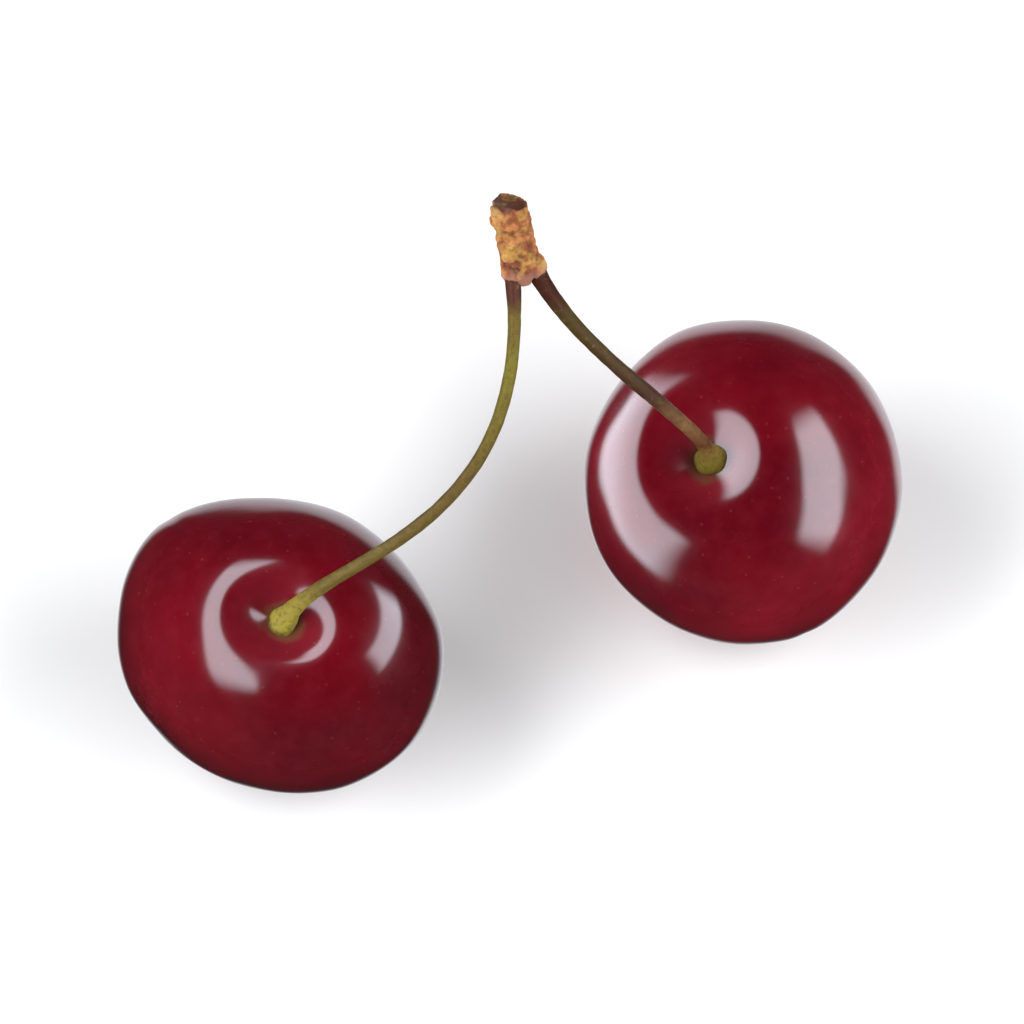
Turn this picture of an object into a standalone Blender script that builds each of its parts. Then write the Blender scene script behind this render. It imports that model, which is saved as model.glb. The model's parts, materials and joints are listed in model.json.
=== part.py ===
"""A pair of sweet cherries on stalks that grow from one woody spur.

Frame: metres, +Z up. z = 0 is the surface that both fruits rest on, X runs from the left fruit to the
right fruit, and the origin is under the middle of the pair's box. Both hollows tip a little towards -Y.
The two stalks rise out of the hollows, curve towards each other and meet at the foot of the spur.

The pieces are placed with the middle of the two fruits at the origin, and the whole pair is moved last.
"""

import math

import bpy
from mathutils import Euler, Vector
from mathutils.geometry import interpolate_bezier

OBJECT_NAME = "cherries_on_stalks"
PIECE_GAP = 0.0003  # left between two pieces that touch

# --- fruits -------------------------------------------------------------------------------------
FRUIT_SPACING = 0.0402  # from the middle of one fruit to the middle of the other
UPPER_SQUARENESS = 2.05  # exponent of a fruit's outline: 2 is an ellipse, and more fills its shoulders
LOWER_SQUARENESS = 2.25
CONTACT_DIP = 0.0003  # how far the soft skin flattens where it rests
BLOSSOM_DENT = 0.0005  # dimple at the lower pole, where the flower was
BLOSSOM_REACH = 0.0016

# Each fruit: width and thickness across the stalk axis, height of its dome above and below the widest
# ring, and the hollow that the stalk stands in. `turn` is about the fruit's own axis, `tip` tips the
# hollow towards -Y and `lean` towards +X, in degrees.
LEFT_FRUIT = {
    "name": "left_fruit",
    "side": -1,
    "width": 0.0268,
    "thickness": 0.0232,
    "top": 0.0130,
    "bottom": 0.0119,
    "hollow_depth": 0.0031,
    "hollow_reach": 0.0032,
    "turn": -42.0,
    "tip": 13.5,
    "lean": -3.5,
}
RIGHT_FRUIT = {
    "name": "right_fruit",
    "side": 1,
    "width": 0.0264,
    "thickness": 0.0256,
    "top": 0.0132,
    "bottom": 0.0121,
    "hollow_depth": 0.0037,
    "hollow_reach": 0.0040,
    "turn": 60.0,
    "tip": 6.5,
    "lean": -21.0,
}
OUTLINE_STEPS = 26  # points down a fruit's outline, closer together in the hollow
OUTLINE_CROWDING = 1.25
ROUND_STEPS = 32

# --- spur: the short woody shoot that both stalks grow from --------------------------------------
SPUR_FOOT = (0.0043, 0.0091, 0.0448)  # middle of its foot
SPUR_TIP_BACK = 41.0  # degrees from upright, towards +Y
SPUR_LEAN = 5.0  # degrees, towards +X
SPUR_LENGTH = 0.0066
SPUR_FOOT_RADIUS = 0.00150
SPUR_WAIST_RADIUS = 0.00165
SPUR_HEAD_RADIUS = 0.00160
SPUR_EDGE = 0.0004  # how far the ends are rounded off
SPUR_ROUND_STEPS = 16

# --- stalks -------------------------------------------------------------------------------------
# Each stalk leaves its hollow along `leave`, arrives at the spur along `arrive`, and the pulls are how
# strongly each end holds the curve to its direction. The radii are at the fruit, midway and at the spur.
LEFT_STALK = {
    "name": "left_stalk",
    "leave": (0.29, -0.03, 0.96),
    "leave_pull": 0.0125,
    "arrive": (0.19, 0.76, 0.62),
    "arrive_pull": 0.0218,
    "foot_radius": 0.00140,
    "middle_radius": 0.00053,
    "head_radius": 0.00066,
}
RIGHT_STALK = {
    "name": "right_stalk",
    "leave": (-0.07, -0.09, 0.99),
    "leave_pull": 0.0083,
    "arrive": (-0.20, 0.56, 0.80),
    "arrive_pull": 0.0095,
    "foot_radius": 0.00145,
    "middle_radius": 0.00058,
    "head_radius": 0.00084,
}
FOOT_SWELL = 0.0021  # length over which the swelling at the fruit dies away
HEAD_SWELL = 0.0030  # the same at the spur
STALK_POINTS = 26
STALK_BEVEL_RESOLUTION = 3

SKIN_COLOUR = (0.19, 0.004, 0.012, 1.0)
LEFT_SKIN_COLOUR = (0.13, 0.003, 0.009, 1.0)
STALK_COLOUR = (0.17, 0.14, 0.03, 1.0)
BROWN_STALK_COLOUR = (0.15, 0.085, 0.03, 1.0)
SPUR_COLOUR = (0.34, 0.15, 0.05, 1.0)


def clear_scene():
    for old in list(bpy.data.objects):
        bpy.data.objects.remove(old, do_unlink=True)


def new_collection(name):
    collection = bpy.data.collections.new(name)
    bpy.context.scene.collection.children.link(collection)
    return collection


def material(name, colour, roughness):
    made = bpy.data.materials.new(name)
    made.use_nodes = True
    shader = made.node_tree.nodes["Principled BSDF"]
    shader.inputs["Base Color"].default_value = colour
    shader.inputs["Roughness"].default_value = roughness
    shader.inputs["Metallic"].default_value = 0.0
    made.diffuse_color = colour
    return made


def turned(name, outline, steps, collection, finish):
    """An outline in the XZ plane, listed from its top to its bottom, turned about Z."""
    mesh = bpy.data.meshes.new(name)
    edges = [(i, i + 1) for i in range(len(outline) - 1)]
    mesh.from_pydata([(r, 0.0, z) for r, z in outline], edges, [])
    obj = bpy.data.objects.new(name, mesh)
    collection.objects.link(obj)
    screw = obj.modifiers.new("turn", "SCREW")
    screw.axis = "Z"
    screw.steps = steps
    screw.render_steps = steps
    screw.use_merge_vertices = True
    screw.merge_threshold = 0.00001
    obj.data.materials.append(finish)
    return obj


def hollow_drop(fruit, radius):
    """How far the hollow takes the top of the fruit down at this distance from its axis."""
    return fruit["hollow_depth"] * math.exp(-((radius / fruit["hollow_reach"]) ** 2))


def dome_height(fruit, radius):
    """Height of the upper skin above the widest ring at this distance from the axis."""
    share = min(1.0, radius / (fruit["width"] / 2))
    dome = fruit["top"] * (1 - share**UPPER_SQUARENESS) ** (1 / UPPER_SQUARENESS)
    return dome - hollow_drop(fruit, radius)


def fruit_outline(fruit):
    """The fruit's outline from the floor of its hollow to its lower pole, as (radius, height)."""
    half_width = fruit["width"] / 2
    outline = []
    for i in range(OUTLINE_STEPS + 1):
        angle = math.pi * (i / OUTLINE_STEPS) ** OUTLINE_CROWDING
        power = 2 / (UPPER_SQUARENESS if angle < math.pi / 2 else LOWER_SQUARENESS)
        at_pole = i in (0, OUTLINE_STEPS)
        radius = 0.0 if at_pole else half_width * math.sin(angle) ** power
        reach = abs(math.cos(angle)) ** power
        if angle < math.pi / 2:
            height = fruit["top"] * reach - hollow_drop(fruit, radius)
        else:
            dent = BLOSSOM_DENT * math.exp(-((radius / BLOSSOM_REACH) ** 2))
            height = dent - fruit["bottom"] * reach
        outline.append((radius, height))
    return outline


def fruit_pose(fruit):
    """Turn about the fruit's own axis first, then tip towards -Y, then lean towards +X."""
    angles = [math.radians(fruit[key]) for key in ("tip", "lean", "turn")]
    return Euler(angles, "ZXY")


def depth_below_middle(fruit):
    """How far the posed fruit reaches below its own middle."""
    rotation = fruit_pose(fruit).to_matrix()
    flattening = fruit["thickness"] / fruit["width"]
    lowest = 0.0
    for radius, height in fruit_outline(fruit):
        for step in range(ROUND_STEPS):
            angle = 2 * math.pi * step / ROUND_STEPS
            across = radius * math.cos(angle)
            through = radius * math.sin(angle) * flattening
            lowest = min(lowest, (rotation @ Vector((across, through, height))).z)
    return -lowest


def fruit_middle(fruit):
    """The middle of the fruit, set so low that the surface flattens its skin by CONTACT_DIP."""
    x = fruit["side"] * FRUIT_SPACING / 2
    return Vector((x, 0.0, depth_below_middle(fruit) - CONTACT_DIP))


def add_surface_cutter(collection):
    """A slab under z = 0 that trims each fruit flat where it rests."""
    size = FRUIT_SPACING + LEFT_FRUIT["width"] + RIGHT_FRUIT["width"]
    depth = min(LEFT_FRUIT["bottom"], RIGHT_FRUIT["bottom"])
    bpy.ops.mesh.primitive_cube_add(size=1.0, location=(0.0, 0.0, -depth / 2))
    slab = bpy.context.active_object
    slab.name = "surface_cutter"
    slab.scale = (size, size, depth)
    for owner in list(slab.users_collection):
        owner.objects.unlink(slab)
    collection.objects.link(slab)
    slab.hide_render = True
    slab.display_type = "WIRE"
    return slab


def add_fruit(fruit, collection, cutter, finish):
    obj = turned(fruit["name"], fruit_outline(fruit), ROUND_STEPS, collection, finish)
    obj.location = fruit_middle(fruit)
    obj.rotation_mode = "ZXY"
    obj.rotation_euler = fruit_pose(fruit)
    obj.scale = (1.0, fruit["thickness"] / fruit["width"], 1.0)
    flat = obj.modifiers.new("contact_flat", "BOOLEAN")
    flat.operation = "DIFFERENCE"
    flat.solver = "EXACT"
    flat.object = cutter
    return obj


def spur_pose():
    return Euler((-math.radians(SPUR_TIP_BACK), math.radians(SPUR_LEAN), 0.0))


def add_spur(collection, finish):
    """A stubby knob, a little fuller at its waist, with blunt rounded ends. Its origin is its foot."""
    outline = [
        (0.0, SPUR_LENGTH),
        (SPUR_HEAD_RADIUS - SPUR_EDGE, SPUR_LENGTH),
        (SPUR_HEAD_RADIUS, SPUR_LENGTH - SPUR_EDGE),
        (SPUR_WAIST_RADIUS, SPUR_LENGTH * 0.55),
        (SPUR_WAIST_RADIUS, SPUR_LENGTH * 0.35),
        (SPUR_FOOT_RADIUS, SPUR_EDGE),
        (SPUR_FOOT_RADIUS - SPUR_EDGE, 0.0),
        (0.0, 0.0),
    ]
    obj = turned("spur", outline, SPUR_ROUND_STEPS, collection, finish)
    obj.location = SPUR_FOOT
    obj.rotation_euler = spur_pose()
    return obj


def stalk_seat(fruit, stalk, leave):
    """Where the stalk's swollen foot stands in the hollow, its tilted rim clear of the rising wall."""
    rotation = fruit_pose(fruit).to_matrix()
    slant = leave.angle(rotation @ Vector((0.0, 0.0, 1.0)))
    across = stalk["foot_radius"] * max(1.0, fruit["width"] / fruit["thickness"])
    wall = dome_height(fruit, across)
    floor = wall + PIECE_GAP + stalk["foot_radius"] * math.sin(slant)
    return fruit_middle(fruit) + rotation @ Vector((0.0, 0.0, floor))


def stalk_root(fruit, stalk, arrive):
    """Where the stalk's other end stands under the spur's foot, clear of it and of the other stalk."""
    rotation = spur_pose().to_matrix()
    slant = arrive.angle(rotation @ Vector((0.0, 0.0, 1.0)))
    below = PIECE_GAP + stalk["head_radius"] * math.sin(slant)
    aside = fruit["side"] * (stalk["head_radius"] + PIECE_GAP / 2)
    return Vector(SPUR_FOOT) + rotation @ Vector((aside, 0.0, -below))


def stalk_route(fruit, stalk):
    leave = Vector(stalk["leave"]).normalized()
    arrive = Vector(stalk["arrive"]).normalized()
    seat = stalk_seat(fruit, stalk, leave)
    root = stalk_root(fruit, stalk, arrive)
    leave_handle = seat + leave * stalk["leave_pull"]
    arrive_handle = root - arrive * stalk["arrive_pull"]
    return interpolate_bezier(seat, leave_handle, arrive_handle, root, STALK_POINTS)


def stalk_radius(stalk, from_foot, length):
    foot = (stalk["foot_radius"] - stalk["middle_radius"]) * math.exp(-from_foot / FOOT_SWELL)
    head = (stalk["head_radius"] - stalk["middle_radius"]) * math.exp(-(length - from_foot) / HEAD_SWELL)
    return stalk["middle_radius"] + foot + head


def add_stalk(fruit, stalk, collection, finish):
    route = stalk_route(fruit, stalk)
    lengths = [0.0]
    for a, b in zip(route, route[1:]):
        lengths.append(lengths[-1] + (b - a).length)
    curve = bpy.data.curves.new(stalk["name"], "CURVE")
    curve.dimensions = "3D"
    curve.bevel_depth = stalk["middle_radius"]
    curve.bevel_resolution = STALK_BEVEL_RESOLUTION
    curve.use_fill_caps = True
    spline = curve.splines.new("POLY")
    spline.points.add(len(route) - 1)
    for point, place, from_foot in zip(spline.points, route, lengths):
        point.co = (*place, 1.0)
        radius = stalk_radius(stalk, from_foot, lengths[-1])
        point.radius = radius / stalk["middle_radius"]
    curve.materials.append(finish)
    obj = bpy.data.objects.new(stalk["name"], curve)
    collection.objects.link(obj)
    return obj


def world_points(obj, depsgraph):
    evaluated = obj.evaluated_get(depsgraph)
    mesh = evaluated.to_mesh()
    points = [evaluated.matrix_world @ vertex.co for vertex in mesh.vertices]
    evaluated.to_mesh_clear()
    return points


def stand_over_origin(collection, cutter):
    """Hang everything from one empty, moved so that the pair's box stands over the origin."""
    bpy.context.view_layer.update()
    depsgraph = bpy.context.evaluated_depsgraph_get()
    pieces = list(collection.objects)
    points = [point for obj in pieces for point in world_points(obj, depsgraph)]
    middles = [(min(p[i] for p in points) + max(p[i] for p in points)) / 2 for i in (0, 1)]
    stand = bpy.data.objects.new("stand", None)
    collection.objects.link(stand)
    for obj in pieces + [cutter]:
        obj.parent = stand
    stand.location = (-middles[0], -middles[1], 0.0)


def build():
    clear_scene()
    parts = new_collection(OBJECT_NAME)
    cutters = new_collection("cutters")
    left_skin = material("left_skin", LEFT_SKIN_COLOUR, 0.2)
    right_skin = material("right_skin", SKIN_COLOUR, 0.2)
    green_stalk = material("green_stalk", STALK_COLOUR, 0.5)
    brown_stalk = material("brown_stalk", BROWN_STALK_COLOUR, 0.5)
    bark = material("spur_bark", SPUR_COLOUR, 0.85)
    cutter = add_surface_cutter(cutters)
    add_fruit(LEFT_FRUIT, parts, cutter, left_skin)
    add_fruit(RIGHT_FRUIT, parts, cutter, right_skin)
    add_stalk(LEFT_FRUIT, LEFT_STALK, parts, green_stalk)
    add_stalk(RIGHT_FRUIT, RIGHT_STALK, parts, brown_stalk)
    add_spur(parts, bark)
    stand_over_origin(parts, cutter)


build()
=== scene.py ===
import json
import math
import random

import bpy
from mathutils import Euler, Matrix, Vector
from mathutils.geometry import interpolate_bezier

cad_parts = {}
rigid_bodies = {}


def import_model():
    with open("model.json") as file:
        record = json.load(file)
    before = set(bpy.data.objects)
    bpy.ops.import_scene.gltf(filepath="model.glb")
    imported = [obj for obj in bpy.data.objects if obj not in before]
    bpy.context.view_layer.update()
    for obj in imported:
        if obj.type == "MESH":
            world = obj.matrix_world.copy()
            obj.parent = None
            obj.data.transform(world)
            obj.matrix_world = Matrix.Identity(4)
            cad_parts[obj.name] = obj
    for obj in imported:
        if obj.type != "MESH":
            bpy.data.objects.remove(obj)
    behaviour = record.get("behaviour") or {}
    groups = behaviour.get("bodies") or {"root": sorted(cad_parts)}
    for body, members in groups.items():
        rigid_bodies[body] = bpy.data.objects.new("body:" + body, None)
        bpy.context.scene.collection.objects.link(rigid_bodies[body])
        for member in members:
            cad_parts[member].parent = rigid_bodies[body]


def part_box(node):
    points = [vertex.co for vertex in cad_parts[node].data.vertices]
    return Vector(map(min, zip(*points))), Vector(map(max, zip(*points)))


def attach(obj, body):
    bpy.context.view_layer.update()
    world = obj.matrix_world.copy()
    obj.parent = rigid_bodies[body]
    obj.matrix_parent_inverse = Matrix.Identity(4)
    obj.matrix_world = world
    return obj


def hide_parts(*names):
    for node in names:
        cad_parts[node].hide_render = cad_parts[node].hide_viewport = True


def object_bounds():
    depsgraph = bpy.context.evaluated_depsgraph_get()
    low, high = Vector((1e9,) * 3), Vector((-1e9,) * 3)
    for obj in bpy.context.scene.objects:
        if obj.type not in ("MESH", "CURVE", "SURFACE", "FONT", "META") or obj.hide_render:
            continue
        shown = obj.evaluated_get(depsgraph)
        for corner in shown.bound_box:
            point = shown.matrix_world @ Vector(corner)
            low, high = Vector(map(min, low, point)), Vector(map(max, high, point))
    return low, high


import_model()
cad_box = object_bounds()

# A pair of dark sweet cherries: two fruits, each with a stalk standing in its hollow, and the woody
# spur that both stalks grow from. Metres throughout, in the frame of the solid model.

MM = 0.001
TINY = 0.001 * MM  # points nearer than this are one
HAIRLINE = 1e-7  # a cut takes points this near as lying on it

# --- sizes and skins of the fruits ---------------------------------------------------------------
UPPER_SQUARENESS = 2.05  # exponent of a fruit's outline: 2 is an ellipse, and more fills its shoulders
LOWER_SQUARENESS = 2.25
BLOSSOM_DENT = 0.5 * MM
BLOSSOM_REACH = 1.6 * MM
OUTLINE_STEPS = 76
OUTLINE_CROWDING = 1.25  # above 1 it crowds the steps into the hollow
ROUND_STEPS = 144
LUMP_WIDTH = 9 * MM
SHOULDER_REACH = 9 * MM
SUTURE_DEPTH = 0.07 * MM
SUTURE_WIDTH = 0.7 * MM
SUTURE_START = 7.2 * MM  # distance from the axis at which it begins to show
SUTURE_FADE = 4 * MM

LEFT_FRUIT = {
    "node": "left_fruit",
    "skin": "left_skin",
    "width": 26.8 * MM,
    "thickness": 23.2 * MM,
    "top": 13.0 * MM,
    "bottom": 11.9 * MM,
    "hollow_depth": 3.1 * MM,
    "hollow_reach": 3.2 * MM,
    "turn": -42.0,
    "tip": 13.5,
    "lean": -3.5,
    "lump": 0.5 * MM,
    "suture": 150.0,
    "shoulder": (-0.32, 0.89, 0.33),
    "shoulder_out": 0.9 * MM,
    "deep": (0.105, 0.0017, 0.006),
    "body": (0.17, 0.0021, 0.008),
    "flush": (0.26, 0.018, 0.03),
}
RIGHT_FRUIT = {
    "node": "right_fruit",
    "skin": "right_skin",
    "width": 26.4 * MM,
    "thickness": 25.6 * MM,
    "top": 13.2 * MM,
    "bottom": 12.1 * MM,
    "hollow_depth": 3.7 * MM,
    "hollow_reach": 4.0 * MM,
    "turn": 60.0,
    "tip": 6.5,
    "lean": -21.0,
    "lump": 0.5 * MM,
    "suture": 205.0,
    "deep": (0.11, 0.0014, 0.006),
    "body": (0.185, 0.0022, 0.009),
    "flush": (0.29, 0.018, 0.03),
}
SEAT_TAN = (0.16, 0.07, 0.03)
SPECK_PINK = (0.50, 0.16, 0.14)

# --- sizes and skins of the stalks ---------------------------------------------------------------
# Each list of colours runs from the lowest point of the stalk's solid, at 0, to its highest, at 1.
LEFT_STALK = {
    "node": "left_stalk",
    "slot": "green_stalk",
    "side": -1,
    "leave": (0.29, -0.03, 0.96),
    "leave_pull": 12.5 * MM,
    "arrive": (0.19, 0.76, 0.62),
    "arrive_pull": 21.8 * MM,
    "foot_radius": 1.28 * MM,
    "middle_radius": 0.50 * MM,
    "head_radius": 0.66 * MM,
    "foot_swell": 1.9 * MM,
    "foot_edge": 1.0,
    "colours": [
        (0.0, (0.30, 0.26, 0.040)),
        (0.10, (0.25, 0.20, 0.028)),
        (0.22, (0.12, 0.085, 0.010)),
        (0.55, (0.095, 0.060, 0.010)),
        (0.82, (0.14, 0.115, 0.006)),
        (0.92, (0.11, 0.075, 0.006)),
        (0.955, (0.06, 0.010, 0.003)),
    ],
}
RIGHT_STALK = {
    "node": "right_stalk",
    "slot": "brown_stalk",
    "side": 1,
    "leave": (-0.07, -0.09, 0.99),
    "leave_pull": 8.3 * MM,
    "arrive": (-0.20, 0.56, 0.80),
    "arrive_pull": 9.5 * MM,
    "foot_radius": 1.42 * MM,
    "middle_radius": 0.56 * MM,
    "head_radius": 0.86 * MM,
    "foot_swell": 1.75 * MM,
    "foot_edge": 2.6,
    "colours": [
        (0.0, (0.15, 0.12, 0.015)),
        (0.08, (0.17, 0.10, 0.022)),
        (0.13, (0.10, 0.032, 0.012)),
        (0.28, (0.17, 0.080, 0.028)),
        (0.45, (0.05, 0.018, 0.008)),
        (0.85, (0.06, 0.038, 0.004)),
        (0.92, (0.045, 0.007, 0.003)),
    ],
}
HEAD_SWELL = 2.6 * MM
HEAD_SPREAD = 0.15 * MM  # half the gap between the two stalks where they meet
SEAT_DEPTH = 0.2 * MM  # a stalk's foot runs this far into the hollow's floor
ROOT_DEPTH = 0.25 * MM  # and its head this far into the spur
STALK_CUTS = 17
STALK_TWIST = 1.6
SECTION_POINTS = 30
WANDER_LENGTH = 1.9 * MM
STALK_LUMP_WIDTH = 1.1 * MM
STALK_LUMP = 0.07 * MM
FLECK_BROWN = (0.05, 0.016, 0.003)
FLECK_PALE = (0.28, 0.20, 0.03)
# painted shade: the dark brown ring on a stalk's foot where it meets the fruit
FOOT_SHADE = (0.06, 0.022, 0.006)

# --- size and bark of the spur -------------------------------------------------------------------
SPUR_TIP_BACK = 41.0
SPUR_LEAN = 5.0
SPUR_LENGTH = 6.6 * MM
SPUR_RADIUS = 1.35 * MM
SPUR_STEPS = 36
SPUR_ROUND_STEPS = 40
SCAR_HEIGHT = 0.09 * MM
SCAR_SPACING = 1.15 * MM
SCALE_ROWS = 5
SCALE_SIZES = (0.55, 0.95)
SCALE_SEED = 11
COLLAR_WALL = 0.2 * MM  # how far the spur's foot closes over each stalk
BREAK_DROP = 0.25 * MM
BREAK_LEAN = 14
BREAK_RIM = 0.32 * MM
BREAK_DENT = 0.3 * MM
# bark colour by distance from the spur's axis: painted shade in the crevices, orange-brown bark between,
# painted highlight on what stands out
BARK_SHADE_TO_HIGHLIGHT = [
    (0.0, (0.09, 0.020, 0.005)),
    (0.35, (0.24, 0.065, 0.015)),
    (0.6, (0.38, 0.14, 0.04)),
    (1.0, (0.50, 0.27, 0.08)),
]
BARK_OCHRE = (0.40, 0.24, 0.045)
BARK_GRIME = (0.13, 0.035, 0.008)
BROKEN_WOOD = (0.10, 0.05, 0.035)
PINK_FOOT = (0.36, 0.15, 0.10)

# --- camera, soft boxes and room -----------------------------------------------------------------
CAMERA_AZIMUTH = -21.0
CAMERA_ELEVATION = 65.0
CAMERA_DISTANCE = 1.0
CAMERA_DROP = 2.0 * MM  # it aims this far below the middle of the pair
FIELD_WIDTH = 82.0 * MM
SENSOR_WIDTH = 36.0

BOX_COLOUR = (0.85, 0.91, 1.0)
ROOM_COLOUR = (0.97, 0.985, 1.0)
BOX_EDGE = 0.22
BOX_DISTANCE = 450 * MM

SKY_COLOUR = (0.93, 0.95, 1.0, 1.0)
SKY_DIM = 0.015
SKY_PALE = 0.75
PALE_RIM = 33.0  # degrees from the middle of the pale part to where it starts
PALE_CORE = 20.0
FLOOR_SIZE = 6.0
FLOOR_COLOUR = (0.86, 0.86, 0.86, 1.0)


# --- handwork ------------------------------------------------------------------------------------
def clean_slate():
    """Nothing selected and object mode, before each new piece."""
    if bpy.context.object and bpy.context.object.mode != "OBJECT":
        bpy.ops.object.mode_set(mode="OBJECT")
    bpy.ops.object.select_all(action="DESELECT")


def only(obj):
    clean_slate()
    obj.select_set(True)
    bpy.context.view_layer.objects.active = obj


def edit_all(obj):
    """Edit mode on this piece alone, with all of it selected."""
    only(obj)
    bpy.ops.object.mode_set(mode="EDIT")
    bpy.ops.mesh.select_all(action="SELECT")


def apply_modifier(obj, kind, **settings):
    only(obj)
    bpy.ops.object.modifier_add(type=kind)
    modifier = obj.modifiers[-1]
    for key, value in settings.items():
        setattr(modifier, key, value)
    bpy.ops.object.modifier_apply(modifier=modifier.name)


def settle(obj):
    """Bakes the object's own turn, place and size into its mesh."""
    only(obj)
    bpy.ops.object.transform_apply(location=True, rotation=True, scale=True)


def turned(name, outline, steps):
    """A vertex is pulled along the outline, top to bottom, and the line is spun into a closed body."""
    clean_slate()
    bpy.ops.mesh.primitive_plane_add(size=MM)
    obj = bpy.context.object
    obj.name = name
    edit_all(obj)
    bpy.ops.mesh.merge(type="CENTER")
    here = Vector((outline[0][0], 0.0, outline[0][1]))
    bpy.ops.transform.translate(value=here)
    for radius, height in outline[1:]:
        there = Vector((radius, 0.0, height))
        bpy.ops.mesh.extrude_region_move(TRANSFORM_OT_translate={"value": there - here})
        here = there
    bpy.ops.mesh.select_all(action="SELECT")
    bpy.ops.mesh.spin(steps=steps, angle=2 * math.pi, center=(0, 0, 0), axis=(0, 0, 1))
    bpy.ops.mesh.select_all(action="SELECT")
    bpy.ops.mesh.remove_doubles(threshold=TINY)
    bpy.ops.mesh.normals_make_consistent(inside=False)
    bpy.ops.object.mode_set(mode="OBJECT")
    return obj


def lumpy(obj, name, size, strength):
    """Soft unevenness from a cloud pattern of this size."""
    texture = bpy.data.textures.new(name, "CLOUDS")
    texture.noise_scale = size
    texture.noise_depth = 1
    apply_modifier(obj, "DISPLACE", texture=texture, texture_coords="LOCAL", strength=strength)


# --- fruits --------------------------------------------------------------------------------------
def hollow_drop(fruit, radius):
    return fruit["hollow_depth"] * math.exp(-((radius / fruit["hollow_reach"]) ** 2))


def skin_height(fruit, radius):
    """Height of the upper skin above the widest ring at this distance from the axis."""
    share = min(1.0, radius / (fruit["width"] / 2))
    dome = fruit["top"] * (1 - share**UPPER_SQUARENESS) ** (1 / UPPER_SQUARENESS)
    return dome - hollow_drop(fruit, radius)


def hollow_floor(fruit, place, depth=0.0):
    """The middle of the hollow's floor, or a point this deep under it."""
    return place @ Vector((0, 0, skin_height(fruit, 0.0) - depth))


def fruit_outline(fruit):
    half_width = fruit["width"] / 2
    outline = []
    for i in range(OUTLINE_STEPS + 1):
        angle = math.pi * (i / OUTLINE_STEPS) ** OUTLINE_CROWDING
        power = 2 / (UPPER_SQUARENESS if angle < math.pi / 2 else LOWER_SQUARENESS)
        at_pole = i in (0, OUTLINE_STEPS)
        radius = 0.0 if at_pole else half_width * math.sin(angle) ** power
        reach = abs(math.cos(angle)) ** power
        if angle < math.pi / 2:
            height = fruit["top"] * reach - hollow_drop(fruit, radius)
        else:
            dent = BLOSSOM_DENT * math.exp(-((radius / BLOSSOM_REACH) ** 2))
            height = dent - fruit["bottom"] * reach
        outline.append((radius, height))
    return outline


def fruit_pose(fruit):
    angles = [math.radians(fruit[key]) for key in ("tip", "lean", "turn")]
    return Euler(angles, "ZXY").to_matrix().to_4x4()


def fruit_place(fruit, obj):
    """The matrix that tips the upright fruit and brings it under the top of its solid."""
    pose = fruit_pose(fruit)
    posed = [pose @ vertex.co for vertex in obj.data.vertices]
    low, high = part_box(fruit["node"])
    middle = [(min(p[i] for p in posed) + max(p[i] for p in posed)) / 2 for i in (0, 1)]
    across = (low.x + high.x) / 2 - middle[0]
    deep = (low.y + high.y) / 2 - middle[1]
    up = high.z - max(p.z for p in posed)
    return Matrix.Translation((across, deep, up)) @ pose


def pull_shoulder(obj, fruit):
    """Moves the skin furthest towards the shoulder, the rest within reach following softly."""
    towards = Vector(fruit["shoulder"]).normalized()
    move = towards * fruit["shoulder_out"]
    grip = max((vertex.co.copy() for vertex in obj.data.vertices), key=lambda co: co.dot(towards))
    for vertex in obj.data.vertices:
        away = min(1.0, (vertex.co - grip).length / SHOULDER_REACH)
        vertex.co += move * (1 - away * away * (3 - 2 * away))


def press_suture(obj, fruit):
    """A shallow line down one side of the fruit, fading out well before its hollow."""
    angle = math.radians(fruit["suture"])
    flattening = fruit["thickness"] / fruit["width"]
    for vertex in obj.data.vertices:
        around = math.atan2(vertex.co.y / flattening, vertex.co.x) - angle
        aside = math.atan2(math.sin(around), math.cos(around)) * fruit["width"] / 2
        radius = math.hypot(vertex.co.x, vertex.co.y)
        fade = min(1.0, max(0.0, (radius - SUTURE_START) / SUTURE_FADE))
        depth = SUTURE_DEPTH * fade * math.exp(-((aside / SUTURE_WIDTH) ** 2))
        vertex.co -= vertex.co.normalized() * depth


def make_fruit(fruit):
    """Turned, flattened and made uneven upright, then posed, set in its place and pressed flat where
    it rests. Gives the piece and the matrix that takes its upright frame to its place."""
    obj = turned(fruit["node"] + "_skin", fruit_outline(fruit), ROUND_STEPS)
    obj.scale = (1.0, fruit["thickness"] / fruit["width"], 1.0)
    settle(obj)
    place = fruit_place(fruit, obj)
    press_suture(obj, fruit)
    lumpy(obj, fruit["node"] + "_lumps", LUMP_WIDTH, fruit["lump"])
    obj.matrix_world = place
    settle(obj)
    if "shoulder" in fruit:
        pull_shoulder(obj, fruit)
    edit_all(obj)
    bpy.ops.mesh.bisect(
        plane_co=(0, 0, 0), plane_no=(0, 0, 1), use_fill=True, clear_inner=True, threshold=HAIRLINE
    )
    bpy.ops.object.mode_set(mode="OBJECT")
    bpy.ops.object.shade_smooth()
    return obj, place


# --- stalks --------------------------------------------------------------------------------------
def ridged_section():
    """The stalk's cross-section, a round with faint ridges, as a flat closed curve of radius 1."""
    curve = bpy.data.curves.new("stalk_section", "CURVE")
    curve.dimensions = "2D"
    spline = curve.splines.new("POLY")
    spline.points.add(SECTION_POINTS - 1)
    spline.use_cyclic_u = True
    for i, point in enumerate(spline.points):
        angle = 2 * math.pi * i / SECTION_POINTS
        radius = 1 + 0.035 * math.cos(5 * angle) + 0.04 * math.cos(2 * angle + 0.6)
        point.co = (radius * math.cos(angle), radius * math.sin(angle), 0, 1)
    obj = bpy.data.objects.new("stalk_section", curve)
    bpy.context.scene.collection.objects.link(obj)
    return obj


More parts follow.
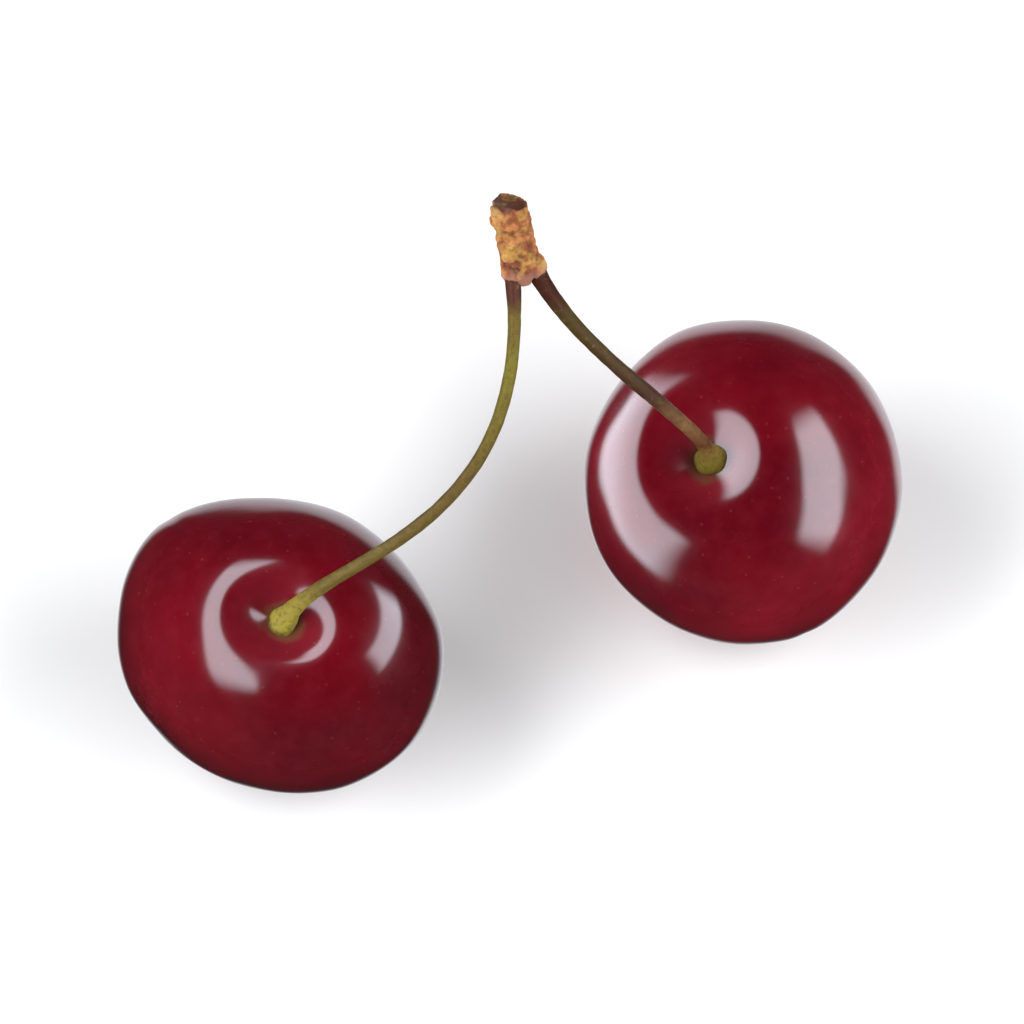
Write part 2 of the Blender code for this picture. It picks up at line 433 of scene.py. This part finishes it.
def stalk_radius(stalk, from_foot, length):
    foot = math.exp(-((from_foot / stalk["foot_swell"]) ** stalk["foot_edge"]))
    head = math.exp(-(length - from_foot) / HEAD_SWELL)
    middle = stalk["middle_radius"]
    wander = 0.025 * math.sin(from_foot / WANDER_LENGTH + stalk["side"])
    return (
        middle * (1 + wander)
        + (stalk["foot_radius"] - middle) * foot
        + (stalk["head_radius"] - middle) * head
    )


def head_aside(stalk):
    """How far to the side of the spur's axis the stalk's head stands."""
    return stalk["side"] * (stalk["head_radius"] + HEAD_SPREAD)


def shape_stalk(curve, stalk):
    """Thickness and twist at each point of the curve, by its distance along it from the foot."""
    points = curve.splines[0].bezier_points
    lengths = [0.0]
    for a, b in zip(points, points[1:]):
        steps = interpolate_bezier(a.co, a.handle_right, b.handle_left, b.co, 12)
        lengths.append(lengths[-1] + sum((q - p).length for p, q in zip(steps, steps[1:])))
    for point, from_foot in zip(points, lengths):
        point.radius = stalk_radius(stalk, from_foot, lengths[-1])
        point.tilt = STALK_TWIST * from_foot / lengths[-1]


def make_stalk(stalk, fruit, place, spur, section):
    """A curve from the hollow's floor to the spur's foot, given the stalk's section and thickness."""
    leave = Vector(stalk["leave"]).normalized() * stalk["leave_pull"]
    arrive = Vector(stalk["arrive"]).normalized() * stalk["arrive_pull"]
    seat = hollow_floor(fruit, place, SEAT_DEPTH)
    root = spur @ Vector((head_aside(stalk), 0, ROOT_DEPTH))
    clean_slate()
    bpy.ops.curve.primitive_bezier_curve_add()
    obj = bpy.context.object
    obj.name = stalk["node"] + "_stem"
    curve = obj.data
    start, end = curve.splines[0].bezier_points
    for point in (start, end):
        point.handle_left_type = "FREE"
        point.handle_right_type = "FREE"
    start.co = seat
    start.handle_right = seat + leave
    start.handle_left = seat - leave
    end.co = root
    end.handle_left = root - arrive
    end.handle_right = root + arrive
    bpy.ops.object.mode_set(mode="EDIT")
    bpy.ops.curve.select_all(action="SELECT")
    bpy.ops.curve.subdivide(number_cuts=STALK_CUTS)
    bpy.ops.object.mode_set(mode="OBJECT")
    shape_stalk(curve, stalk)
    curve.dimensions = "3D"
    curve.resolution_u = 10
    curve.bevel_mode = "OBJECT"
    curve.bevel_object = section
    curve.use_fill_caps = True
    only(obj)
    bpy.ops.object.convert(target="MESH")
    edit_all(obj)
    bpy.ops.mesh.remove_doubles(threshold=TINY)
    bpy.ops.mesh.normals_make_consistent(inside=False)
    bpy.ops.object.mode_set(mode="OBJECT")
    lumpy(obj, stalk["node"] + "_lumps", STALK_LUMP_WIDTH, STALK_LUMP)
    only(obj)
    bpy.ops.object.shade_smooth()
    return obj


# --- spur ----------------------------------------------------------------------------------------
def spur_place():
    """The matrix that takes the spur's upright frame, foot at its origin, to its place."""
    angles = (-math.radians(SPUR_TIP_BACK), math.radians(SPUR_LEAN), 0.0)
    turn = Euler(angles).to_matrix().to_4x4()
    low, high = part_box("spur")
    foot = (low + high) / 2 - turn @ Vector((0, 0, SPUR_LENGTH / 2))
    return Matrix.Translation(foot) @ turn


def spur_outline():
    """Ring scars down the woody body, from its broken top to its foot, fullest below its middle."""
    outline = [(0.0, SPUR_LENGTH)]
    for i in range(SPUR_STEPS + 1):
        share = 1 - i / SPUR_STEPS
        scar = SCAR_HEIGHT * math.cos(2 * math.pi * share * SPUR_LENGTH / SCAR_SPACING)
        taper = 0.86 + 0.22 * math.sin(math.pi * (1 - share) ** 0.8) - 0.10 * (1 - share) ** 6
        outline.append((SPUR_RADIUS * taper + scar, SPUR_LENGTH * share))
    outline.append((0.0, 0.0))
    return outline


def bud_scale(dice, size):
    """One blunt scale, lying along Z with its back to +X."""
    clean_slate()
    bpy.ops.mesh.primitive_uv_sphere_add(segments=14, ring_count=9, radius=size)
    obj = bpy.context.object
    edit_all(obj)
    bpy.ops.transform.resize(value=(0.42, 0.95, 1.1))
    bpy.ops.mesh.bisect(
        plane_co=(0, 0, -0.7 * size), plane_no=(0, 0, 1), use_fill=True, clear_inner=True
    )
    bpy.ops.object.mode_set(mode="OBJECT")
    for vertex in obj.data.vertices:
        share = vertex.co.z / size
        vertex.co.x += 0.18 * size * share * share
        vertex.co.y *= 1.0 - 0.25 * max(0.0, share)
        vertex.co *= 1.0 + 0.06 * dice.uniform(-1, 1)
    return obj


def rows_of_scales():
    """Uneven rows of scales round the spur, up its length."""
    dice = random.Random(SCALE_SEED)
    scales = []
    for row in range(SCALE_ROWS):
        count = 5 + row % 2
        height = SPUR_LENGTH * (0.13 + 0.75 * row / (SCALE_ROWS - 1))
        for i in range(count):
            scale = bud_scale(dice, dice.uniform(*SCALE_SIZES) * MM)
            around = 2 * math.pi * (i + 0.5 * (row % 2) + dice.uniform(-0.25, 0.25)) / count
            reach = SPUR_RADIUS * dice.uniform(0.80, 0.98)
            tilt = Euler((dice.uniform(-0.6, 0.6), dice.uniform(-0.1, 0.45), around))
            spot = Vector((reach * math.cos(around), reach * math.sin(around), height))
            spot.z += dice.uniform(-0.45, 0.45) * MM
            scale.matrix_world = Matrix.Translation(spot) @ tilt.to_matrix().to_4x4()
            settle(scale)
            scales.append(scale)
    return scales


def knob(spot, size, stretch):
    clean_slate()
    bpy.ops.mesh.primitive_uv_sphere_add(segments=18, ring_count=12, radius=size)
    obj = bpy.context.object
    obj.scale = stretch
    obj.location = spot
    settle(obj)
    return obj


def fuse(parts, fineness):
    """Joins the pieces and turns them into one skin."""
    clean_slate()
    for part in parts:
        part.select_set(True)
    bpy.context.view_layer.objects.active = parts[0]
    if len(parts) > 1:
        bpy.ops.object.join()
    apply_modifier(parts[0], "REMESH", mode="VOXEL", voxel_size=fineness)


def drop_crumbs(obj):
    """Deletes what came loose, inside or out, from the skin that the fullest point belongs to."""
    edit_all(obj)
    bpy.ops.mesh.select_mode(type="VERT")
    bpy.ops.mesh.select_all(action="DESELECT")
    bpy.ops.object.mode_set(mode="OBJECT")
    fullest = max(obj.data.vertices, key=lambda vertex: vertex.co.xy.length)
    fullest.select = True
    bpy.ops.object.mode_set(mode="EDIT")
    bpy.ops.mesh.select_linked()
    bpy.ops.mesh.select_all(action="INVERT")
    bpy.ops.mesh.delete(type="VERT")
    bpy.ops.object.mode_set(mode="OBJECT")


def break_off(obj):
    """Cuts the top off aslant and dents the broken face."""
    edit_all(obj)
    height = SPUR_LENGTH - BREAK_DROP
    slant = Vector((math.sin(math.radians(BREAK_LEAN)), -0.12, 1.0)).normalized()
    bpy.ops.mesh.bisect(
        plane_co=(0, 0, height), plane_no=slant, use_fill=True, clear_outer=True, threshold=HAIRLINE
    )
    bpy.ops.mesh.inset(thickness=BREAK_RIM)
    bpy.ops.transform.translate(value=(0, 0, -BREAK_DENT))
    bpy.ops.object.mode_set(mode="OBJECT")


def make_spur(place):
    """A woody body with uneven rows of blunt scales, closed round the two stalks and drawn out between
    them at its foot, fused into one knobbly skin, and broken off on top."""
    body = turned("spur_bark", spur_outline(), SPUR_ROUND_STEPS)
    parts = [body] + rows_of_scales()
    parts.append(knob((0, -0.35 * MM, 0.15 * MM), 0.75 * MM, (1.1, 0.9, 1.5)))
    for stalk in (LEFT_STALK, RIGHT_STALK):
        collar = stalk["head_radius"] + COLLAR_WALL
        parts.append(knob((head_aside(stalk), 0, 0.45 * MM), collar, (1.0, 1.0, 1.15)))
    fuse(parts, 0.09 * MM)
    break_off(body)
    fuse([body], 0.08 * MM)
    drop_crumbs(body)
    lumpy(body, "spur_knobs", 0.9 * MM, 0.30 * MM)
    lumpy(body, "spur_grain", 0.32 * MM, 0.16 * MM)
    body.matrix_world = place
    settle(body)
    bpy.ops.object.shade_smooth()
    return body


# --- finishes ------------------------------------------------------------------------------------
class Finish:
    """A material with short calls for its nodes. Patterns read Object coordinates, in metres."""

    def __init__(self, name):
        self.material = bpy.data.materials.new(name)
        self.material.use_nodes = True
        self.tree = self.material.node_tree
        self.shader = self.tree.nodes["Principled BSDF"]
        self.place = self.tree.nodes.new("ShaderNodeTexCoord").outputs["Object"]

    def node(self, kind, **inputs):
        made = self.tree.nodes.new(kind)
        for name, value in inputs.items():
            self.feed(made.inputs[name.replace("_", " ")], value)
        return made

    def feed(self, socket, value):
        if isinstance(value, bpy.types.NodeSocket):
            self.tree.links.new(value, socket)
        else:
            socket.default_value = value

    def noise(self, scale, detail=2.0, roughness=0.5):
        made = self.node("ShaderNodeTexNoise", Vector=self.place, Scale=scale, Detail=detail)
        made.inputs["Roughness"].default_value = roughness
        return made.outputs["Fac"]

    def ramp(self, value, stops):
        made = self.node("ShaderNodeValToRGB", Fac=value)
        elements = made.color_ramp.elements
        while len(elements) < len(stops):
            elements.new(0.5)
        for element, (position, colour) in zip(elements, stops):
            element.position = position
            element.color = (*colour, 1.0)
        return made.outputs["Color"]

    def math(self, operation, a, b=0.0, c=0.0):
        made = self.tree.nodes.new("ShaderNodeMath")
        made.operation = operation
        for socket, value in zip(made.inputs, (a, b, c)):
            self.feed(socket, value)
        return made.outputs["Value"]

    def wander(self, value, size, scale, detail=2.0, roughness=0.5):
        """The value, moved unevenly by up to half this size either way."""
        shift = self.math("MULTIPLY_ADD", self.noise(scale, detail, roughness), size, -size / 2)
        return self.math("ADD", value, shift)

    def between(self, value, low, high, to_low=0.0, to_high=1.0):
        made = self.node("ShaderNodeMapRange", Value=value)
        made.inputs["From Min"].default_value = low
        made.inputs["From Max"].default_value = high
        made.inputs["To Min"].default_value = to_low
        made.inputs["To Max"].default_value = to_high
        return made.outputs["Result"]

    def mix(self, share, a, b):
        made = self.tree.nodes.new("ShaderNodeMix")
        made.data_type = "RGBA"
        self.feed(made.inputs["Factor"], share)
        for socket, value in zip((made.inputs[6], made.inputs[7]), (a, b)):
            self.feed(socket, (*value, 1.0) if isinstance(value, tuple) else value)
        return made.outputs[2]

    def vector(self, operation, a, b=(0, 0, 0)):
        made = self.tree.nodes.new("ShaderNodeVectorMath")
        made.operation = operation
        self.feed(made.inputs[0], a)
        self.feed(made.inputs[1], b)
        return made.outputs["Value" if operation in ("DISTANCE", "LENGTH", "DOT_PRODUCT") else "Vector"]

    def bump(self, height, strength, distance):
        made = self.node("ShaderNodeBump", Height=height, Strength=strength, Distance=distance)
        return made.outputs["Normal"]

    def set(self, **inputs):
        for name, value in inputs.items():
            self.feed(self.shader.inputs[name.replace("_", " ")], value)


def up_axis(place):
    return (place.to_3x3() @ Vector((0, 0, 1))).normalized()


def skin_finish(fruit, place):
    """Thin glossy cherry skin: mottled, finely speckled, lighter in the hollow, tan round the stalk."""
    skin = Finish(fruit["skin"])
    flush = fruit["flush"]
    mottle = skin.between(skin.noise(110.0, 2.0, 0.5), 0.3, 0.7)
    colour = skin.mix(mottle, fruit["deep"], fruit["body"])
    streak = skin.between(skin.noise(700.0, 4.0, 0.6), 0.42, 0.72, 0.0, 0.18)
    colour = skin.mix(streak, colour, flush)
    from_seat = skin.vector("DISTANCE", skin.place, tuple(hollow_floor(fruit, place)))
    from_seat = skin.wander(from_seat, 2.4 * MM, 420.0)
    in_hollow = skin.between(from_seat, 5.0 * MM, 1.8 * MM, 0.0, 0.6)
    colour = skin.mix(in_hollow, colour, flush)
    round_stalk = skin.between(from_seat, 2.1 * MM, 1.4 * MM, 0.0, 0.7)
    colour = skin.mix(round_stalk, colour, SEAT_TAN)
    specks = skin.node("ShaderNodeTexVoronoi", Vector=skin.place, Scale=820.0)
    dot = skin.between(specks.outputs["Distance"], 0.13, 0.05, 0.0, 0.10)
    colour = skin.mix(dot, colour, SPECK_PINK)
    roughness = skin.between(skin.noise(260.0, 3.0), 0.3, 0.7, 0.20, 0.28)
    skin.set(Base_Color=colour, Roughness=roughness)
    skin.set(Normal=skin.bump(skin.noise(230.0, 1.0), 0.05, 0.3 * MM))
    skin.set(IOR=1.45, Specular_IOR_Level=0.3, Coat_Weight=1.0, Coat_Roughness=0.07)
    return skin.material


def stalk_finish(stalk, fruit, place):
    """Stalk skin: its colour runs with height from the fruit to the spur, over fine flecks, and a ring of
    painted shade darkens its foot where it sits in the hollow."""
    stem = Finish(stalk["slot"])
    low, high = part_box(stalk["node"])
    split = stem.node("ShaderNodeSeparateXYZ", Vector=stem.place)
    height = stem.wander(split.outputs["Z"], 2.0 * MM, 500.0, 3.0)
    colour = stem.ramp(stem.between(height, low.z, high.z), stalk["colours"])
    fleck = stem.between(stem.noise(2600.0, 4.0, 0.6), 0.46, 0.66, 0.0, 0.45)
    colour = stem.mix(fleck, colour, FLECK_BROWN)
    pale = stem.between(stem.noise(1500.0, 3.0, 0.6), 0.58, 0.75, 0.0, 0.35)
    colour = stem.mix(pale, colour, FLECK_PALE)
    # Painted shade: a dark brown ring on the foot, darkest where it sits on the hollow's floor.
    from_seat = stem.vector("SUBTRACT", stem.place, tuple(hollow_floor(fruit, place)))
    rise = stem.vector("DOT_PRODUCT", from_seat, tuple(up_axis(place)))
    rise = stem.wander(rise, 0.8 * MM, 900.0)
    foot_shade = stem.between(rise, 0.75 * MM, 0.25 * MM, 0.0, 0.9)
    colour = stem.mix(foot_shade, colour, FOOT_SHADE)
    roughness = stem.between(stem.noise(1200.0), 0.3, 0.7, 0.5, 0.65)
    stem.set(Base_Color=colour, Roughness=roughness, Specular_IOR_Level=0.25)
    stem.set(Normal=stem.bump(stem.noise(3000.0, 3.0), 0.35, 0.08 * MM))
    return stem.material


def bark_finish(place):
    """Dry scaly bark: orange-tan on what stands out, as painted highlight, and dark red-brown in the
    crevices, as painted shade; darker where it broke off and pinkish where it closes round the stalks."""
    bark = Finish("spur_bark")
    along = tuple(up_axis(place))
    arm = bark.vector("SUBTRACT", bark.place, tuple(place.translation))
    radius = bark.vector("LENGTH", bark.vector("CROSS_PRODUCT", arm, along))
    radius = bark.wander(radius, 0.8 * MM, 1300.0, 3.0, 0.6)
    # Painted shade in the crevices and painted highlight on what stands out, by distance from the axis.
    colour = bark.ramp(bark.between(radius, 1.22 * MM, 1.80 * MM), BARK_SHADE_TO_HIGHLIGHT)
    ochre = bark.between(bark.noise(800.0, 2.0), 0.50, 0.60, 0.0, 0.6)
    colour = bark.mix(ochre, colour, BARK_OCHRE)
    grime = bark.between(bark.noise(2400.0, 4.0, 0.65), 0.50, 0.66, 0.0, 0.6)
    colour = bark.mix(grime, colour, BARK_GRIME)
    height = bark.wander(bark.vector("DOT_PRODUCT", arm, along), 1.6 * MM, 900.0)
    broken = bark.between(height, SPUR_LENGTH - 0.8 * MM, SPUR_LENGTH + 0.2 * MM, 0.0, 0.7)
    colour = bark.mix(broken, colour, BROKEN_WOOD)
    at_foot = bark.between(height, 0.9 * MM, 0.2 * MM, 0.0, 0.6)
    colour = bark.mix(at_foot, colour, PINK_FOOT)
    bark.set(Base_Color=colour, Roughness=0.85)
    bark.set(Normal=bark.bump(bark.noise(4200.0, 4.0, 0.6), 0.6, 0.12 * MM))
    return bark.material


def dress(obj, material):
    obj.data.materials.clear()
    obj.data.materials.append(material)


# --- room ----------------------------------------------------------------------------------------
def view_axes():
    """Right, up and back, as the camera sees them."""
    azimuth = math.radians(CAMERA_AZIMUTH)
    elevation = math.radians(CAMERA_ELEVATION)
    right = Vector((math.cos(azimuth), math.sin(azimuth), 0))
    back = Vector(
        (
            math.sin(azimuth) * math.cos(elevation),
            -math.cos(azimuth) * math.cos(elevation),
            math.sin(elevation),
        )
    )
    return right, back.cross(right), back


def middle_of_pair():
    low, high = cad_box
    return (low + high) / 2


def make_camera():
    right, up, back = view_axes()
    data = bpy.data.cameras.new("camera")
    data.sensor_width = SENSOR_WIDTH
    data.lens = SENSOR_WIDTH * CAMERA_DISTANCE / FIELD_WIDTH
    data.clip_start = 0.01
    data.clip_end = 20.0
    camera = bpy.data.objects.new("camera", data)
    bpy.context.scene.collection.objects.link(camera)
    camera.location = middle_of_pair() - up * CAMERA_DROP + back * CAMERA_DISTANCE
    camera.rotation_euler = back.to_track_quat("Z", "Y").to_euler()
    bpy.context.scene.camera = camera


def fade_edges(light):
    """Lets a soft box's brightness fall off near its edges, across and along."""
    light.use_nodes = True
    tree = light.node_tree
    spot = tree.nodes.new("ShaderNodeNewGeometry").outputs["Parametric"]
    split = tree.nodes.new("ShaderNodeSeparateXYZ")
    tree.links.new(spot, split.inputs["Vector"])
    both = tree.nodes.new("ShaderNodeMath")
    both.operation = "MULTIPLY"
    for axis, share in zip(("X", "Y"), both.inputs):
        from_middle = tree.nodes.new("ShaderNodeMath")
        from_middle.operation = "SUBTRACT"
        from_middle.inputs[1].default_value = 0.5
        tree.links.new(split.outputs[axis], from_middle.inputs[0])
        size = tree.nodes.new("ShaderNodeMath")
        size.operation = "ABSOLUTE"
        tree.links.new(from_middle.outputs["Value"], size.inputs[0])
        fade = tree.nodes.new("ShaderNodeMapRange")
        fade.interpolation_type = "SMOOTHSTEP"
        fade.inputs["From Min"].default_value = 0.5
        fade.inputs["From Max"].default_value = 0.5 - BOX_EDGE
        tree.links.new(size.outputs["Value"], fade.inputs["Value"])
        tree.links.new(fade.outputs["Result"], share)
    tree.links.new(both.outputs["Value"], tree.nodes["Emission"].inputs["Strength"])


def soft_box(name, bearing, angle, spread, radiance, roll, spare=(), lit=(), colour=BOX_COLOUR):
    """A large soft light. It stands at this angle from the camera's line of sight, on this bearing round
    it (0 is the right, 90 is up), and spreads over so many degrees each way: across, then along. It
    spares some pieces, or lights only some."""
    right, up, back = view_axes()
    aside = right * math.cos(math.radians(bearing)) + up * math.sin(math.radians(bearing))
    aim = aside * math.sin(math.radians(angle)) + back * math.cos(math.radians(angle))
    data = bpy.data.lights.new(name, "AREA")
    data.shape = "RECTANGLE"
    data.size = 2 * BOX_DISTANCE * math.tan(math.radians(spread[0]))
    data.size_y = 2 * BOX_DISTANCE * math.tan(math.radians(spread[1]))
    data.energy = radiance * math.pi * data.size * data.size_y
    data.color = colour
    fade_edges(data)
    light = bpy.data.objects.new(name, data)
    bpy.context.scene.collection.objects.link(light)
    light.location = middle_of_pair() + aim * BOX_DISTANCE
    along = back.cross(aside)
    across = along.cross(aim)
    turn = Matrix((across, along, aim)).transposed() @ Matrix.Rotation(math.radians(roll), 3, "Z")
    light.rotation_euler = turn.to_euler()
    group = bpy.data.collections.new(name + "_lights")
    for obj in (*spare, *lit):
        group.objects.link(obj)
    for entry in group.collection_objects:
        entry.light_linking.link_state = "EXCLUDE" if spare else "INCLUDE"
    light.light_linking.receiver_collection = group


def light_fruits(left, right):
    """A soft box on each side of each fruit, so that each skin shows its own pair of highlights."""
    soft_box(
        "left_fruit_left_box", bearing=159, angle=35, spread=(21, 53), radiance=6.2, roll=8, lit=[left]
    )
    soft_box(
        "left_fruit_right_box", bearing=12, angle=82, spread=(13, 36), radiance=6.2, roll=-44, lit=[left]
    )
    soft_box(
        "right_fruit_left_box", bearing=177, angle=89, spread=(40, 54), radiance=5.7, roll=18, lit=[right]
    )
    soft_box(
        "right_fruit_right_box", bearing=2, angle=60, spread=(22, 46), radiance=6.6, roll=7, lit=[right]
    )


def light_room(fruits):
    """A soft box on each side for the stalks, the spur and the floor."""
    rest = {"spare": fruits, "colour": ROOM_COLOUR}
    soft_box("left_room_box", bearing=180, angle=50, spread=(24, 48), radiance=5.8, roll=-13, **rest)
    soft_box("right_room_box", bearing=0, angle=50, spread=(26, 44), radiance=5.0, roll=-8, **rest)


def make_floor():
    clean_slate()
    bpy.ops.mesh.primitive_plane_add(size=FLOOR_SIZE, location=(0, 0, 0))
    floor = bpy.context.object
    floor.name = "floor"
    floor.visible_glossy = False
    floor.visible_shadow = False
    paper = Finish("pale_floor")
    paper.set(Base_Color=FLOOR_COLOUR, Roughness=0.9, Specular_IOR_Level=0.1)
    dress(floor, paper.material)


def make_sky():
    """A dim room, paler behind the pair, where its edges mirror it."""
    right, up, back = view_axes()
    pale_way = (up * 0.28 + right * 0.10 - back * 0.955).normalized()
    world = bpy.data.worlds.new("room")
    world.use_nodes = True
    tree = world.node_tree
    way = tree.nodes.new("ShaderNodeTexCoord").outputs["Generated"]
    along = tree.nodes.new("ShaderNodeVectorMath")
    along.operation = "DOT_PRODUCT"
    along.inputs[1].default_value = pale_way
    tree.links.new(way, along.inputs[0])
    bright = tree.nodes.new("ShaderNodeMapRange")
    bright.interpolation_type = "SMOOTHSTEP"
    bright.inputs["From Min"].default_value = math.cos(math.radians(PALE_RIM))
    bright.inputs["From Max"].default_value = math.cos(math.radians(PALE_CORE))
    bright.inputs["To Min"].default_value = SKY_DIM
    bright.inputs["To Max"].default_value = SKY_PALE
    tree.links.new(along.outputs["Value"], bright.inputs["Value"])
    backdrop = tree.nodes["Background"]
    tree.links.new(bright.outputs["Result"], backdrop.inputs["Strength"])
    backdrop.inputs["Color"].default_value = SKY_COLOUR
    bpy.context.scene.world = world
    bpy.context.scene.view_settings.view_transform = "Standard"


# --- the pair ------------------------------------------------------------------------------------
def join_up(piece, node):
    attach(piece, "root")
    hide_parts(node)
    piece.visible_glossy = False


def make_pair():
    """The fruits, then the stalks in their hollows, then the spur. Gives the two fruits."""
    skins = []
    places = []
    for fruit in (LEFT_FRUIT, RIGHT_FRUIT):
        skin, place = make_fruit(fruit)
        dress(skin, skin_finish(fruit, place))
        join_up(skin, fruit["node"])
        skins.append(skin)
        places.append(place)
    spur_frame = spur_place()
    section = ridged_section()
    for stalk, fruit, place in zip((LEFT_STALK, RIGHT_STALK), (LEFT_FRUIT, RIGHT_FRUIT), places):
        stem = make_stalk(stalk, fruit, place, spur_frame, section)
        dress(stem, stalk_finish(stalk, fruit, place))
        join_up(stem, stalk["node"])
    bpy.data.objects.remove(section, do_unlink=True)
    spur = make_spur(spur_frame)
    dress(spur, bark_finish(spur_frame))
    join_up(spur, "spur")
    return skins


fruits = make_pair()
make_floor()
light_room(fruits)
light_fruits(*fruits)
make_sky()
make_camera()
